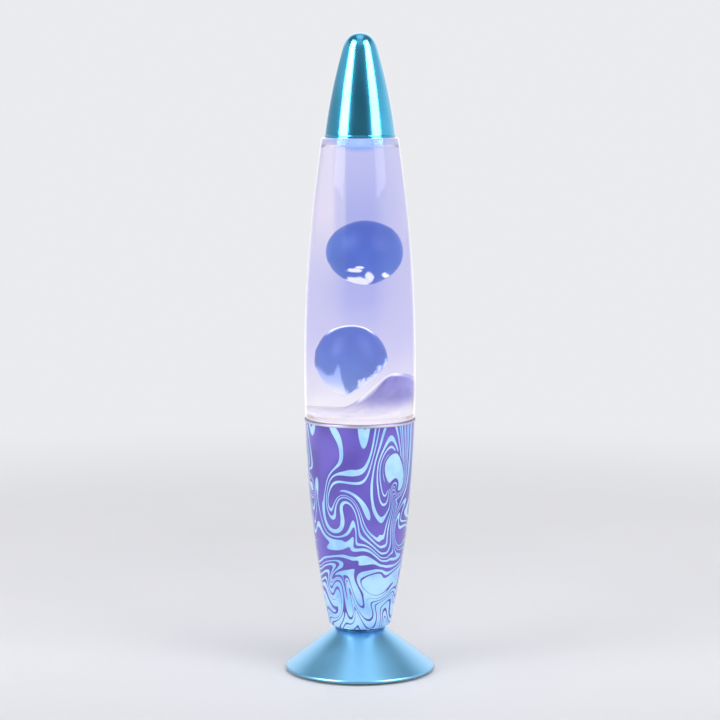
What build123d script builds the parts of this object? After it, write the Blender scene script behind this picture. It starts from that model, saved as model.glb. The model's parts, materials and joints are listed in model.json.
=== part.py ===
from build123d import *
import math
import os

# Liquid motion lamp: a flared metal foot, a printed housing with a reflector bulb inside,
# a sealed glass globe of liquid and wax that stands in the housing, and a bullet-shaped cap.
# Millimetres, +Z up, front towards -Y, origin on the table under the middle of the lamp.

# Heights of the stack, from the table up
pad_drop = 1.0
foot_height = 21.3
neck_height = 1.4
housing_height = 107.3
ring_height = 1.6
ledge_gap = 0.3
globe_height = 144.1
cap_height = 53.0

foot_bottom = pad_drop
foot_top = foot_bottom + foot_height
housing_bottom = foot_top + neck_height
housing_top = housing_bottom + housing_height
ring_top = housing_top + ring_height
ledge_z = ring_top + ledge_gap
shoulder_z = ledge_z + globe_height
cap_top = shoulder_z + cap_height

# General fits: a hair between seated pieces, room round wax, and one overrun for every cut
seat_gap = 0.05
wax_gap = 0.3
overrun = 1.0

# Foot: a spun cone with a rolled rim
foot_radius = 38.8
foot_top_radius = 13.1
foot_wall = 0.8
foot_bead = 1.0
foot_corner = 1.2

# Lamp pipe that clamps foot, neck collar, housing and lampholder together
pipe_radius = 5.0
pipe_bore = 3.6
pipe_play = 0.2
pipe_tail = 8.8
pipe_grip = 7.0
nut_across_flats = 14.0
nut_height = 3.0
star_radius = 8.6
star_height = 0.9
star_teeth = 12
star_notch = 0.9
floor_washer_radius = 9.5
floor_washer_height = 0.8

# Neck collar between foot and housing
collar_radius = 10.4
collar_round = 0.5

# Base cover and its rubber pads
cover_wall = 1.2
cover_play = 0.15
cover_lift = 0.5
cover_boss_radius = 7.0
cover_boss_height = 1.6
pad_radius = 4.6
pad_inset = 9.3
pad_round = 0.4
pad_count = 4
pad_start_angle = 45.0

# Housing: a moulded shell whose side is one arc
housing_low_radius = 15.8
housing_mid_radius = 24.6
housing_top_radius = 28.2
housing_wall = 1.2
housing_floor = 1.6
housing_corner = 2.6
housing_step_depth = 2.2
housing_step_height = 1.6

# Bright ring on the housing's mouth, with a skirt inside it
ring_radius = 28.7
ring_round = 0.55
skirt_wall = 0.8
skirt_depth = 3.0
skirt_play = 0.1

# Seat inside the housing that carries the globe
nest_depth = 23.9
seat_bore = 20.6
seat_plate = 1.5
seat_skirt_wall = 1.5
seat_skirt_depth = 3.0
seat_play = 0.1

# Glass globe
glass_wall = 2.2
nest_low_radius = 23.6
nest_top_radius = 25.3
nest_corner = 4.0
ledge_round = 0.9
globe_low_radius = 28.3
globe_mid_radius = 27.25
globe_high_radius = 19.8
shoulder_drop = 1.4
shoulder_corner = 1.1
punt_radius = 18.6
punt_rise = 2.4
neck_radius = 12.0
neck_blend = 1.0
mouth_radius = 9.0
lip_radius = 13.1
lip_height = 4.0
neck_rise = 8.0
fill_below_mouth = 3.0

# Crimped bottle cap and its sealing disc
crown_radius = 14.3
crown_wall = 0.35
crown_skirt = 5.6
crown_top_radius = 12.4
crown_flutes = 21
flute_radius = 1.0
liner_height = 0.8

# Metal cap: a hollow bullet with a rolled hem
cap_radius = 18.3
cap_mid_radius = 14.6
cap_nose_radius = 9.0
cap_nose_drop = 8.2
cap_wall = 1.0
cap_hem = 0.9

# Wax: two loose blobs, the pool under them and its mound at the right
upper_half_width = 15.3
upper_half_height = 16.5
upper_rise = 85.1
upper_side = 1.9
lower_half_width = 14.4
lower_half_height = 16.3
lower_tail = 21.0
lower_rise = 32.3
lower_side = -3.6
lower_lean = 10.0
lower_fullness_shares = [1.3, 1.0, 0.8]
pool_level = 3.6
pool_crown = 2.2
mound_radius = 11.5
mound_side = 14.6
mound_rise = 11.0

# Wire coil that warms the wax at the bottom of the globe
coil_wire = 1.2
coil_first_radius = 11.0
coil_pitch = 2.4
coil_half_turns = 6
coil_room = 0.4

# Lampholder and its contacts
holder_height = 30.0
holder_base_radius = 12.4
holder_base_height = 11.0
holder_top_radius = 10.6
holder_round = 1.0
holder_grooves = 16
holder_groove_radius = 0.7
holder_floor = 3.7
wire_way_radius = 1.3
wire_way_spread = 4.6
shell_bore = 7.0
shell_wall = 0.4
shell_gap = 0.2
shell_lift = 1.5
shell_below_rim = 1.2
contact_span = 9.0
contact_width = 3.0
contact_thickness = 0.4
contact_rise = 1.1

# Reflector bulb
bulb_headroom = 6.65
bulb_radius = 19.5
bulb_neck_radius = 7.4
bulb_wall = 0.7
bulb_base_radius = 6.85
bulb_base_height = 17.2
bulb_base_wall = 0.3
bulb_tip_radius = 2.4
bulb_tip_height = 0.8
bulb_insulator_height = 2.2
bulb_insulator_radius = 5.0
bulb_neck_height = 5.0
bulb_band_height = 3.6
bulb_flare_bulge_radius = 15.4
bulb_bulge_share = 0.46
bulb_dome_height = 12.4
bulb_dome_radius = 13.0
bulb_dome_drop = 3.2
stem_radius = 3.0
stem_height = 17.0
stem_taper = 4.0
support_wire = 0.5
support_spread = 6.0
support_height = 12.0
filament_wire = 0.8
filament_sag = 2.0

# Toggle switch on the back of the foot's slope
switch_azimuth = 70.0
switch_share = 0.29
switch_body_width = 7.8
switch_body_length = 6.8
switch_body_depth = 8.4
switch_drop = 0.3
bushing_radius = 3.0
bushing_reach = 5.0
bushing_bore = 1.5
bushing_mouth = 2.45
bushing_play = 0.1
switch_nut_flats = 8.0
switch_nut_height = 1.8
lever_ball = 1.4
lever_stem = 0.9
lever_bat = 1.6
lever_length = 13.0
lever_stub = 1.9
lever_stub_radius = 0.7
lever_swing = 12.0
lever_pin_radius = 0.5
lever_pin_inset = 0.2
terminal_width = 1.8
terminal_thickness = 0.7
terminal_length = 2.4
terminal_spacing = 4.4

# Outlet bushing for the cord, low on the back of the foot, with a level bore
grommet_azimuth = 109.0
grommet_rise = 8.5
grommet_bore = 2.6
grommet_radius = 3.8
grommet_collar_radius = 5.6
grommet_collar_height = 1.0
grommet_inner_share = 0.62
grommet_outer_inset = 2.8
grommet_round = 0.6

# Insulated lead from the switch up the pipe to the lampholder
lead_radius = 1.0
lead_dip = 2.4


def arc_radius(profile, height):
    """Radius at a height on the arc through three (radius, height) points."""
    (r1, z1), (r2, z2), (r3, z3) = profile
    s1, s2, s3 = r1**2 + z1**2, r2**2 + z2**2, r3**2 + z3**2
    twice = 2 * (r1 * (z2 - z3) + r2 * (z3 - z1) + r3 * (z1 - z2))
    centre_r = (s1 * (z2 - z3) + s2 * (z3 - z1) + s3 * (z1 - z2)) / twice
    centre_z = (s1 * (r3 - r2) + s2 * (r1 - r3) + s3 * (r2 - r1)) / twice
    reach = math.hypot(r1 - centre_r, z1 - centre_z)
    return centre_r + math.sqrt(reach**2 - (height - centre_z) ** 2)


def shift(profile, inward):
    """The same three-point profile, moved inward by a wall or a clearance."""
    return [(radius - inward, height) for radius, height in profile]


def part_of(profile, low, high):
    """Three points of a profile's arc between two heights."""
    middle = (low + high) / 2
    return [(arc_radius(profile, height), height) for height in (low, middle, high)]


def corner(sketch, radius, height):
    """The sketch's vertex nearest to a (radius, height) point."""
    return sketch.vertices().sort_by_distance((radius, height))[0]


def finish(builder, label):
    """Label a finished piece and write its file."""
    builder.part.label = label
    export_step(builder.part, f"parts/{label}.step")


os.makedirs("parts", exist_ok=True)


# Foot shell: flat top, sloping wall and rolled rim, turned about the lamp's axis
bead_r = foot_radius - foot_bead
bead_z = foot_bottom + foot_bead
cone_run = bead_r - foot_top_radius
cone_drop = foot_top - bead_z
cone_slope = math.atan2(cone_drop, cone_run) - math.asin(foot_bead / math.hypot(cone_run, cone_drop))
slope_in, slope_up = math.sin(cone_slope), math.cos(cone_slope)
cone_end_r = bead_r + foot_bead * slope_in
cone_end_z = bead_z + foot_bead * slope_up
mitre = foot_wall * math.tan(cone_slope / 2)


def cone_radius(height, outward=0.0):
    """Radius of the foot's outer slope at a height, moved out along its normal."""
    return cone_end_r - (height - cone_end_z - outward / slope_up) / math.tan(cone_slope)


def cone_plane(azimuth, share):
    """Plane on the foot's slope: x level, y up the slope, z straight out of the wall."""
    radius = foot_top_radius + share * (cone_end_r - foot_top_radius)
    height = foot_top + share * (cone_end_z - foot_top)
    around = math.radians(azimuth)
    radial = Vector(math.cos(around), math.sin(around), 0)
    level = Vector(-math.sin(around), math.cos(around), 0)
    normal = radial * slope_in + Vector(0, 0, 1) * slope_up
    return Plane(origin=radial * radius + Vector(0, 0, 1) * height, x_dir=level, z_dir=normal)


switch_plane = cone_plane(switch_azimuth, switch_share)
grommet_z = foot_bottom + grommet_rise
grommet_out = Vector(math.cos(math.radians(grommet_azimuth)), math.sin(math.radians(grommet_azimuth)), 0)
grommet_start = foot_radius * grommet_inner_share
grommet_end = foot_radius - grommet_outer_inset
grommet_side = Vector(0, 0, 1).cross(grommet_out)
grommet_plane = Plane(
    origin=grommet_out * grommet_start + Vector(0, 0, 1) * grommet_z,
    x_dir=grommet_side,
    z_dir=grommet_out,
)
grommet_length = grommet_end - grommet_start

with BuildPart() as foot_shell:
    with BuildSketch(Plane.XZ) as foot_section:
        with BuildLine():
            Polyline(
                (pipe_radius + pipe_play, foot_top),
                (foot_top_radius, foot_top),
                (cone_end_r, cone_end_z),
                (cone_end_r - foot_wall * slope_in, cone_end_z - foot_wall * slope_up),
                (foot_top_radius - mitre, foot_top - foot_wall),
                (pipe_radius + pipe_play, foot_top - foot_wall),
                close=True,
            )
        make_face()
        fillet(corner(foot_section, foot_top_radius, foot_top), foot_corner)
        fillet(corner(foot_section, foot_top_radius - mitre, foot_top - foot_wall), foot_corner - foot_wall)
        with Locations((bead_r, bead_z)):
            Circle(foot_bead)
    revolve(axis=Axis.Z)
    with BuildSketch(switch_plane.offset(-foot_wall - overrun)):
        Circle(bushing_radius + bushing_play)
    extrude(amount=foot_wall + overrun * 2, mode=Mode.SUBTRACT)
    with BuildSketch(grommet_plane):
        Circle(grommet_radius + seat_gap)
    extrude(amount=grommet_length + overrun, mode=Mode.SUBTRACT)
finish(foot_shell, "foot_shell")


# Base cover: a disc that snaps into the rolled rim, with a stiffening boss in the middle
cover_radius = bead_r - foot_bead - cover_play
cover_bottom = foot_bottom + cover_lift
cover_top = cover_bottom + cover_wall
with BuildPart() as base_cover:
    with BuildSketch(Plane.XY.offset(cover_bottom)):
        Circle(cover_radius)
    extrude(amount=cover_wall)
    with BuildSketch(Plane.XY.offset(cover_top)):
        Circle(cover_boss_radius)
        Circle(cover_boss_radius - cover_wall, mode=Mode.SUBTRACT)
    extrude(amount=cover_boss_height)
    fillet(base_cover.edges().group_by(Axis.Z)[0], cover_wall / 4)
finish(base_cover, "base_cover")


# Four rubber pads under the cover
pad_reach = foot_radius - pad_inset
with BuildPart() as foot_pads:
    with BuildSketch():
        with PolarLocations(pad_reach, pad_count, start_angle=pad_start_angle):
            Circle(pad_radius)
    extrude(amount=cover_bottom)
    fillet(foot_pads.edges().group_by(Axis.Z)[0], pad_round)
finish(foot_pads, "foot_pads")


# Lamp pipe: one hollow stud through foot, collar, housing floor and lampholder
floor_top = housing_bottom + housing_floor
holder_bottom = floor_top + floor_washer_height
pipe_bottom = foot_top - pipe_tail
pipe_top = holder_bottom + pipe_grip
with BuildPart() as lamp_pipe:
    with BuildSketch(Plane.XY.offset(pipe_bottom)):
        Circle(pipe_radius)
        Circle(pipe_bore, mode=Mode.SUBTRACT)
    extrude(amount=pipe_top - pipe_bottom)
    chamfer(lamp_pipe.edges().filter_by(GeomType.CIRCLE).sort_by(Axis.Z)[-1], foot_wall / 4)
finish(lamp_pipe, "lamp_pipe")


# Star washer under the foot's top, with teeth round its edge
star_top = foot_top - foot_wall
with BuildPart() as star_washer:
    with BuildSketch(Plane.XY.offset(star_top - star_height)):
        Circle(star_radius)
        Circle(pipe_radius + pipe_play, mode=Mode.SUBTRACT)
        with PolarLocations(star_radius, star_teeth):
            Circle(star_notch, mode=Mode.SUBTRACT)
    extrude(amount=star_height)
finish(star_washer, "star_washer")


# Hexagon nut that draws the stack together from below
with BuildPart() as pipe_nut:
    with BuildSketch(Plane.XY.offset(star_top - star_height - nut_height)):
        RegularPolygon(radius=nut_across_flats / 2, side_count=6, major_radius=False)
        Circle(pipe_radius + seat_gap, mode=Mode.SUBTRACT)
    extrude(amount=nut_height)
finish(pipe_nut, "pipe_nut")


# Neck collar: the bright spacer that shows as a thin gap above the foot
with BuildPart() as neck_collar:
    with BuildSketch(Plane.XY.offset(foot_top)):
        Circle(collar_radius)
        Circle(pipe_radius + pipe_play, mode=Mode.SUBTRACT)
    extrude(amount=neck_height)
    fillet(
        neck_collar.edges().filter_by(GeomType.CIRCLE).sort_by(SortBy.RADIUS)[-2:],
        collar_round,
    )
finish(neck_collar, "neck_collar")


# Housing: floor, one long arc of wall, and a step inside that carries the globe's seat
housing_outer = [
    (housing_low_radius, housing_bottom),
    (housing_mid_radius, (housing_bottom + housing_top) / 2),
    (housing_top_radius, housing_top),
]
housing_inner = shift(housing_outer, housing_wall)
bottle_bottom = ledge_z - nest_depth
seat_bottom = bottle_bottom - seat_plate - seat_skirt_depth
step_bottom = seat_bottom - housing_step_height
step_radius = arc_radius(housing_inner, seat_bottom)
with BuildPart() as housing:
    with BuildSketch(Plane.XZ) as housing_section:
        with BuildLine():
            ThreePointArc(*housing_outer)
            Line(housing_outer[2], housing_inner[2])
            ThreePointArc(*part_of(housing_inner, floor_top, housing_top))
            Polyline(
                (arc_radius(housing_inner, floor_top), floor_top),
                (pipe_radius + pipe_play, floor_top),
                (pipe_radius + pipe_play, housing_bottom),
                housing_outer[0],
            )
        make_face()
        fillet(corner(housing_section, *housing_outer[0]), housing_corner)
        fillet(
            corner(housing_section, arc_radius(housing_inner, floor_top), floor_top),
            housing_corner - housing_wall,
        )
        with BuildLine():
            Polyline(
                (step_radius + housing_wall / 2, seat_bottom),
                (step_radius - housing_step_depth, seat_bottom),
                (step_radius - housing_step_depth, seat_bottom - housing_step_height / 2),
                (arc_radius(housing_inner, step_bottom) + housing_wall / 2, step_bottom),
                close=True,
            )
        make_face()
    revolve(axis=Axis.Z)
finish(housing, "housing")


# Floor washer under the lampholder
with BuildPart() as floor_washer:
    with BuildSketch(Plane.XY.offset(floor_top)):
        Circle(floor_washer_radius)
        Circle(pipe_radius + pipe_play, mode=Mode.SUBTRACT)
    extrude(amount=floor_washer_height)
finish(floor_washer, "floor_washer")


# Rim ring: a bright bead on the housing's mouth, with a skirt that plugs into it
skirt_radius = arc_radius(housing_inner, housing_top - skirt_depth) - skirt_play
with BuildPart() as rim_ring:
    with BuildSketch(Plane.XZ) as ring_section:
        with BuildLine():
            Polyline(
                (ring_radius, ring_top),
                (ring_radius, housing_top),
                (skirt_radius, housing_top),
                (skirt_radius, housing_top - skirt_depth),
                (skirt_radius - skirt_wall, housing_top - skirt_depth),
                (skirt_radius - skirt_wall, ring_top),
                close=True,
            )
        make_face()
        fillet(
            [
                corner(ring_section, ring_radius, ring_top),
                corner(ring_section, ring_radius, housing_top),
                corner(ring_section, skirt_radius - skirt_wall, ring_top),
            ],
            ring_round,
        )
    revolve(axis=Axis.Z)
finish(rim_ring, "rim_ring")


# Globe seat: a plate with a skirt that stands on the housing's inner step
seat_profile = part_of(shift(housing_inner, seat_play), seat_bottom, bottle_bottom)
with BuildPart() as globe_seat:
    with BuildSketch(Plane.XZ):
        with BuildLine():
            ThreePointArc(*seat_profile)
            Polyline(
                seat_profile[2],
                (seat_bore, bottle_bottom),
                (seat_bore, bottle_bottom - seat_plate),
                (seat_profile[0][0] - seat_skirt_wall, bottle_bottom - seat_plate),
                (seat_profile[0][0] - seat_skirt_wall, seat_bottom),
                seat_profile[0],
            )
        make_face()
    revolve(axis=Axis.Z)
finish(globe_seat, "globe_seat")


# Glass bottle: nest, ledge, one long arc, flat shoulder, neck and lip
globe_low_z = ledge_z + ledge_round + seat_gap
globe_high_z = shoulder_z - shoulder_drop
globe_outer = [
    (globe_low_radius, globe_low_z),
    (globe_mid_radius, (globe_low_z + globe_high_z) / 2),
    (globe_high_radius, globe_high_z),
]
mouth_z = shoulder_z + neck_rise
lip_bottom = mouth_z - lip_height
cavity_low_z = ledge_z + glass_wall
cavity_high_z = globe_high_z - glass_wall
cavity_floor = bottle_bottom + glass_wall
punt_reach = punt_radius - nest_corner
nest_inner_low = nest_low_radius - glass_wall
nest_inner_top = nest_top_radius - glass_wall


def cavity_face(inset, top):
    """Section of the globe's inside, shrunk by an inset and cut off at a height."""
    wall = [
        (radius - inset, height)
        for radius, height in part_of(shift(globe_outer, glass_wall), cavity_low_z, cavity_high_z)
    ]
    with BuildSketch(Plane.XZ) as section:
        with BuildLine():
            Polyline(
                (0, cavity_floor + inset + punt_rise),
                (punt_reach, cavity_floor + inset),
                (nest_inner_low - inset, cavity_floor + inset),
                (nest_inner_top - inset, ledge_z - glass_wall),
                wall[0],
            )
            ThreePointArc(*wall)
            Polyline(
                wall[2],
                (mouth_radius - inset, shoulder_z - glass_wall),
                (mouth_radius - inset, mouth_z),
                (0, mouth_z),
                (0, cavity_floor + inset + punt_rise),
            )
        make_face()
        fillet(corner(section, nest_inner_low - inset, cavity_floor + inset), nest_corner - glass_wall)
        with BuildLine():
            Polyline(
                (0, top),
                (foot_radius, top),
                (foot_radius, cap_top),
                (0, cap_top),
                close=True,
            )
        make_face(mode=Mode.SUBTRACT)
    return section


with BuildPart() as glass_bottle:
    with BuildSketch(Plane.XZ) as bottle_section:
        with BuildLine():
            Polyline(
                (0, bottle_bottom + punt_rise),
                (punt_radius, bottle_bottom),
                (nest_low_radius, bottle_bottom),
                (nest_top_radius, ledge_z),
                (globe_low_radius, ledge_z),
                globe_outer[0],
            )
            ThreePointArc(*globe_outer)
            Polyline(
                globe_outer[2],
                (globe_high_radius - shoulder_drop / 3, shoulder_z),
                (neck_radius, shoulder_z),
                (neck_radius, lip_bottom),
                (lip_radius, lip_bottom),
                (lip_radius, mouth_z),
                (0, mouth_z),
                (0, bottle_bottom + punt_rise),
            )
        make_face()
        fillet(corner(bottle_section, nest_low_radius, bottle_bottom), nest_corner)
        fillet(corner(bottle_section, globe_low_radius, ledge_z), ledge_round)
        fillet(corner(bottle_section, globe_high_radius - shoulder_drop / 3, shoulder_z), shoulder_corner)
        fillet(corner(bottle_section, neck_radius, shoulder_z), neck_blend)
        fillet(corner(bottle_section, lip_radius, mouth_z), neck_blend)
    revolve(axis=Axis.Z)
    add(cavity_face(0, mouth_z).sketch)
    revolve(axis=Axis.Z, mode=Mode.SUBTRACT)
finish(glass_bottle, "glass_bottle")


# Crimped bottle cap: a pressed shell with flutes round its skirt
crown_bottom = mouth_z - crown_skirt
liner_top = mouth_z + liner_height
crown_top = liner_top + crown_wall
with BuildPart() as crown_cap:
    with BuildSketch(Plane.XZ) as crown_section:
        with BuildLine():
            Polyline(
                (0, crown_top),
                (crown_top_radius, crown_top),
                (crown_radius, mouth_z - neck_blend),
                (crown_radius, crown_bottom),
                (crown_radius - crown_wall, crown_bottom),
                (crown_radius - crown_wall, mouth_z - neck_blend),
                (crown_top_radius - crown_wall, liner_top),
                (0, liner_top),
                close=True,
            )
        make_face()
        fillet(corner(crown_section, crown_top_radius, crown_top), crown_wall * 2)
    revolve(axis=Axis.Z)
    with BuildSketch(Plane.XY.offset(crown_bottom - overrun)):
        with PolarLocations(crown_radius + flute_radius - crown_wall / 2, crown_flutes):
            Circle(flute_radius)
    extrude(amount=crown_skirt / 2 + overrun, mode=Mode.SUBTRACT)
finish(crown_cap, "crown_cap")


# Sealing disc inside the bottle cap
with BuildPart() as crown_liner:
    with BuildSketch(Plane.XY.offset(mouth_z)):
        Circle(crown_top_radius - crown_wall * 2)
    extrude(amount=liner_height)
finish(crown_liner, "crown_liner")


# Metal cap: the bullet's outline, its wall and the hem that stands on the glass shoulder
def cap_face(inset):
    """Section of the bullet, shrunk by an inset."""
    nose_z = cap_top - cap_nose_drop
    side = [
        (cap_radius - inset, shoulder_z),
        (cap_mid_radius - inset, (shoulder_z + nose_z) / 2),
        (cap_nose_radius - inset, nose_z),
    ]
    with BuildSketch(Plane.XZ) as section:
        with BuildLine():
            flank = ThreePointArc(*side)
            Spline(side[2], (0, cap_top - inset), tangents=[flank % 1, (-1, 0)])
            Polyline((0, cap_top - inset), (0, shoulder_z), side[0])
        make_face()
    return section


with BuildPart() as top_cap:
    with BuildSketch(Plane.XZ):
        add(cap_face(0).sketch_local)
        add(cap_face(cap_wall).sketch_local, mode=Mode.SUBTRACT)
        with Locations((cap_radius - cap_hem, shoulder_z + cap_hem)):
            Circle(cap_hem)
    revolve(axis=Axis.Z)
finish(top_cap, "top_cap")


# Loose wax: each blob is turned about its own upright or leaning axis
def upper_blob(gap):
    """The upper blob, grown by a gap where it has to make room."""
    place = Plane(origin=(upper_side, 0, ledge_z + upper_rise), x_dir=(1, 0, 0), z_dir=(0, -1, 0))
    with BuildPart() as blob:
        with BuildSketch(place):
            with BuildLine():
                EllipticalCenterArc(
                    (0, 0), upper_half_width + gap, upper_half_height + gap, start_angle=-90, arc_size=180
                )
                Line((0, upper_half_height + gap), (0, -upper_half_height - gap))
            make_face()
        revolve(axis=Axis(place.origin, place.y_dir))
    return blob


def lower_blob(gap):
    """The lower blob with its tail, grown by a gap where it has to make room."""
    lean = math.radians(lower_lean)
    place = Plane(
        origin=(lower_side, 0, ledge_z + lower_rise),
        x_dir=(math.cos(lean), 0, -math.sin(lean)),
        z_dir=(0, -1, 0),
    )
    with BuildPart() as blob:
        with BuildSketch(place):
            with BuildLine():
                Spline(
                    (0, lower_half_height + gap),
                    (lower_half_width + gap, 0),
                    (0, -lower_tail - gap),
                    tangents=[(1, 0), (0, -1), (-1, 0)],
                    tangent_scalars=lower_fullness_shares,
                )
                Line((0, lower_half_height + gap), (0, -lower_tail - gap))
            make_face()
        revolve(axis=Axis(place.origin, place.y_dir))
    return blob


upper_wax = upper_blob(0)
finish(upper_wax, "upper_wax")
lower_wax = lower_blob(0)
finish(lower_wax, "lower_wax")


# Heating coil: a flat spiral of wire, each half turn an arc, lying on the glass
coil_inner = coil_first_radius - coil_wire / 2
coil_z = cavity_floor + punt_rise * (1 - coil_inner / punt_reach) + coil_wire / 2 + seat_gap
with BuildPart() as heating_coil:
    with BuildLine(Plane.XY.offset(coil_z)) as coil_path:
        start = coil_first_radius
        for half_turn in range(coil_half_turns):
            sign = 1 if half_turn % 2 == 0 else -1
            end = start + coil_pitch / 2
            radius = (start + end) / 2
            middle = sign * (start - radius)
            ThreePointArc((sign * start, 0), (middle, sign * radius), (-sign * end, 0))
            start = end
    with BuildSketch(Plane(origin=coil_path.line @ 0, z_dir=coil_path.line % 0)):
        Circle(coil_wire / 2)
    sweep()
finish(heating_coil, "heating_coil")


# Wax pool: what lies in the bottom of the globe, crowned, with a mound at the right
pool_z = ledge_z + pool_level
pool_slot_low = coil_inner - coil_room
pool_slot_high = coil_first_radius + coil_pitch / 2 * coil_half_turns + coil_wire / 2 + coil_room
with BuildPart() as wax_pool:
    with BuildSketch(Plane.XZ):
        add(cavity_face(seat_gap, pool_z).sketch_local)
        with BuildLine():
            bowl = cavity_face(seat_gap, pool_z).sketch_local.bounding_box().max.X
            ThreePointArc((0, pool_z + pool_crown), (bowl / 2, pool_z + pool_crown * 3 / 4), (bowl, pool_z))
            Polyline((bowl, pool_z), (0, pool_z), (0, pool_z + pool_crown))
        make_face()
    revolve(axis=Axis.Z)
    with Locations((mound_side, 0, ledge_z + mound_rise)):
        Sphere(mound_radius)
    add(cavity_face(seat_gap, mouth_z).sketch)
    revolve(axis=Axis.Z, mode=Mode.INTERSECT)
    with BuildSketch(Plane.XY.offset(coil_z + coil_wire / 2 + coil_room)):
        Circle(pool_slot_high)
        Circle(pool_slot_low, mode=Mode.SUBTRACT)
    extrude(amount=-coil_wire - coil_room * 2 - punt_rise, mode=Mode.SUBTRACT)
finish(wax_pool, "wax_pool")


# Liquid: fills the globe round the wax, up into the neck
with BuildPart() as liquid:
    add(cavity_face(seat_gap, mouth_z - fill_below_mouth).sketch)
    revolve(axis=Axis.Z)
    with BuildSketch(Plane.XY.offset(bottle_bottom)):
        Circle(foot_radius)
    extrude(amount=pool_z - bottle_bottom, mode=Mode.SUBTRACT)
    add(wax_pool.part, mode=Mode.SUBTRACT)
    add(upper_blob(wax_gap).part, mode=Mode.SUBTRACT)
    add(lower_blob(wax_gap).part, mode=Mode.SUBTRACT)
finish(liquid, "liquid")


# Lampholder: a ribbed insulating body screwed down on the pipe
holder_top = holder_bottom + holder_height
well_floor = pipe_top + holder_floor
with BuildPart() as holder_body:
    with BuildSketch(Plane.XZ) as holder_section:
        with BuildLine():
            Polyline(
                (pipe_radius + seat_gap, holder_bottom),
                (holder_base_radius, holder_bottom),
                (holder_base_radius, holder_bottom + holder_base_height),
                (holder_top_radius, holder_bottom + holder_base_height + holder_round * 2),
                (holder_top_radius, holder_top),
                (shell_bore + shell_wall + shell_gap, holder_top),
                (shell_bore + shell_wall + shell_gap, well_floor),
                (0, well_floor),
                (0, pipe_top),
                (pipe_radius + seat_gap, pipe_top),
                close=True,
            )
        make_face()
        fillet(corner(holder_section, holder_base_radius, holder_bottom), holder_round)
        fillet(corner(holder_section, holder_top_radius, holder_top), holder_round)
    revolve(axis=Axis.Z)
    with BuildSketch(Plane.XY.offset(pipe_top - seat_gap)):
        with PolarLocations(wire_way_spread / 2, 2):
            Circle(wire_way_radius)
    extrude(amount=holder_floor + overrun, mode=Mode.SUBTRACT)
    with BuildSketch(Plane.XY.offset(holder_bottom + holder_base_height + holder_round * 3)):
        with PolarLocations(holder_top_radius, holder_grooves):
            Circle(holder_groove_radius)
    extrude(amount=holder_height - holder_base_height - holder_round * 5, mode=Mode.SUBTRACT)
finish(holder_body, "holder_body")


# Screw shell of the lampholder, with its lip turned out
shell_bottom = well_floor + shell_lift
shell_top = holder_top - shell_below_rim
with BuildPart() as holder_shell:
    with BuildSketch(Plane.XY.offset(shell_bottom)):
        Circle(shell_bore + shell_wall)
        Circle(shell_bore, mode=Mode.SUBTRACT)
    extrude(amount=shell_top - shell_bottom)
    with BuildSketch(Plane.XY.offset(well_floor)):
        with PolarLocations(shell_bore + shell_wall / 2, 2, start_angle=90):
            Rectangle(shell_wall, contact_width)
    extrude(amount=shell_lift)
finish(holder_shell, "holder_shell")


# Centre contact: a bowed strip on the floor of the well
contact_top = well_floor + contact_rise + contact_thickness
with BuildPart() as holder_contact:
    with BuildSketch(Plane.XZ):
        with BuildLine():
            half = contact_span / 2
            ThreePointArc((-half, well_floor), (0, well_floor + contact_rise), (half, well_floor))
            Line((half, well_floor), (half, well_floor + contact_thickness))
            ThreePointArc(
                (half, well_floor + contact_thickness),
                (0, contact_top),
                (-half, well_floor + contact_thickness),
            )
            Line((-half, well_floor + contact_thickness), (-half, well_floor))
        make_face()
    extrude(amount=contact_width / 2, both=True)
finish(holder_contact, "holder_contact")


# Bulb: base, insulator and tip contact, then the glass, its stem, supports and filament
bulb_bottom = contact_top + seat_gap
bulb_top = bottle_bottom - bulb_headroom
insulator_z = bulb_bottom + bulb_tip_height
base_z = insulator_z + bulb_insulator_height
base_top = base_z + bulb_base_height - bulb_insulator_height
neck_top = base_top + bulb_neck_height
band_top = bulb_top - bulb_dome_height
flare_top = band_top - bulb_band_height
bulge_z = neck_top + bulb_bulge_share * (flare_top - neck_top)

with BuildPart() as bulb_contact:
    with BuildSketch(Plane.XY.offset(bulb_bottom)):
        Circle(bulb_tip_radius)
    extrude(amount=bulb_tip_height)
    fillet(bulb_contact.edges().group_by(Axis.Z)[0], bulb_tip_height / 2)
finish(bulb_contact, "bulb_contact")

with BuildPart() as bulb_insulator:
    with BuildSketch(Plane.XZ):
        with BuildLine():
            Polyline(
                (0, insulator_z),
                (bulb_tip_radius, insulator_z),
                (bulb_insulator_radius, base_z),
                (0, base_z),
                close=True,
            )
        make_face()
    revolve(axis=Axis.Z)
finish(bulb_insulator, "bulb_insulator")

with BuildPart() as bulb_base:
    with BuildSketch(Plane.XZ) as base_section:
        with BuildLine():
            Polyline(
                (0, base_z),
                (bulb_insulator_radius, base_z),
                (bulb_base_radius, base_z + bulb_insulator_height),
                (bulb_base_radius, base_top),
                (bulb_base_radius - bulb_base_wall, base_top),
                (bulb_base_radius - bulb_base_wall, base_z + bulb_insulator_height),
                (bulb_insulator_radius - bulb_base_wall, base_z + bulb_base_wall),
                (0, base_z + bulb_base_wall),
                close=True,
            )
        make_face()
    revolve(axis=Axis.Z)
finish(bulb_base, "bulb_base")


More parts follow.
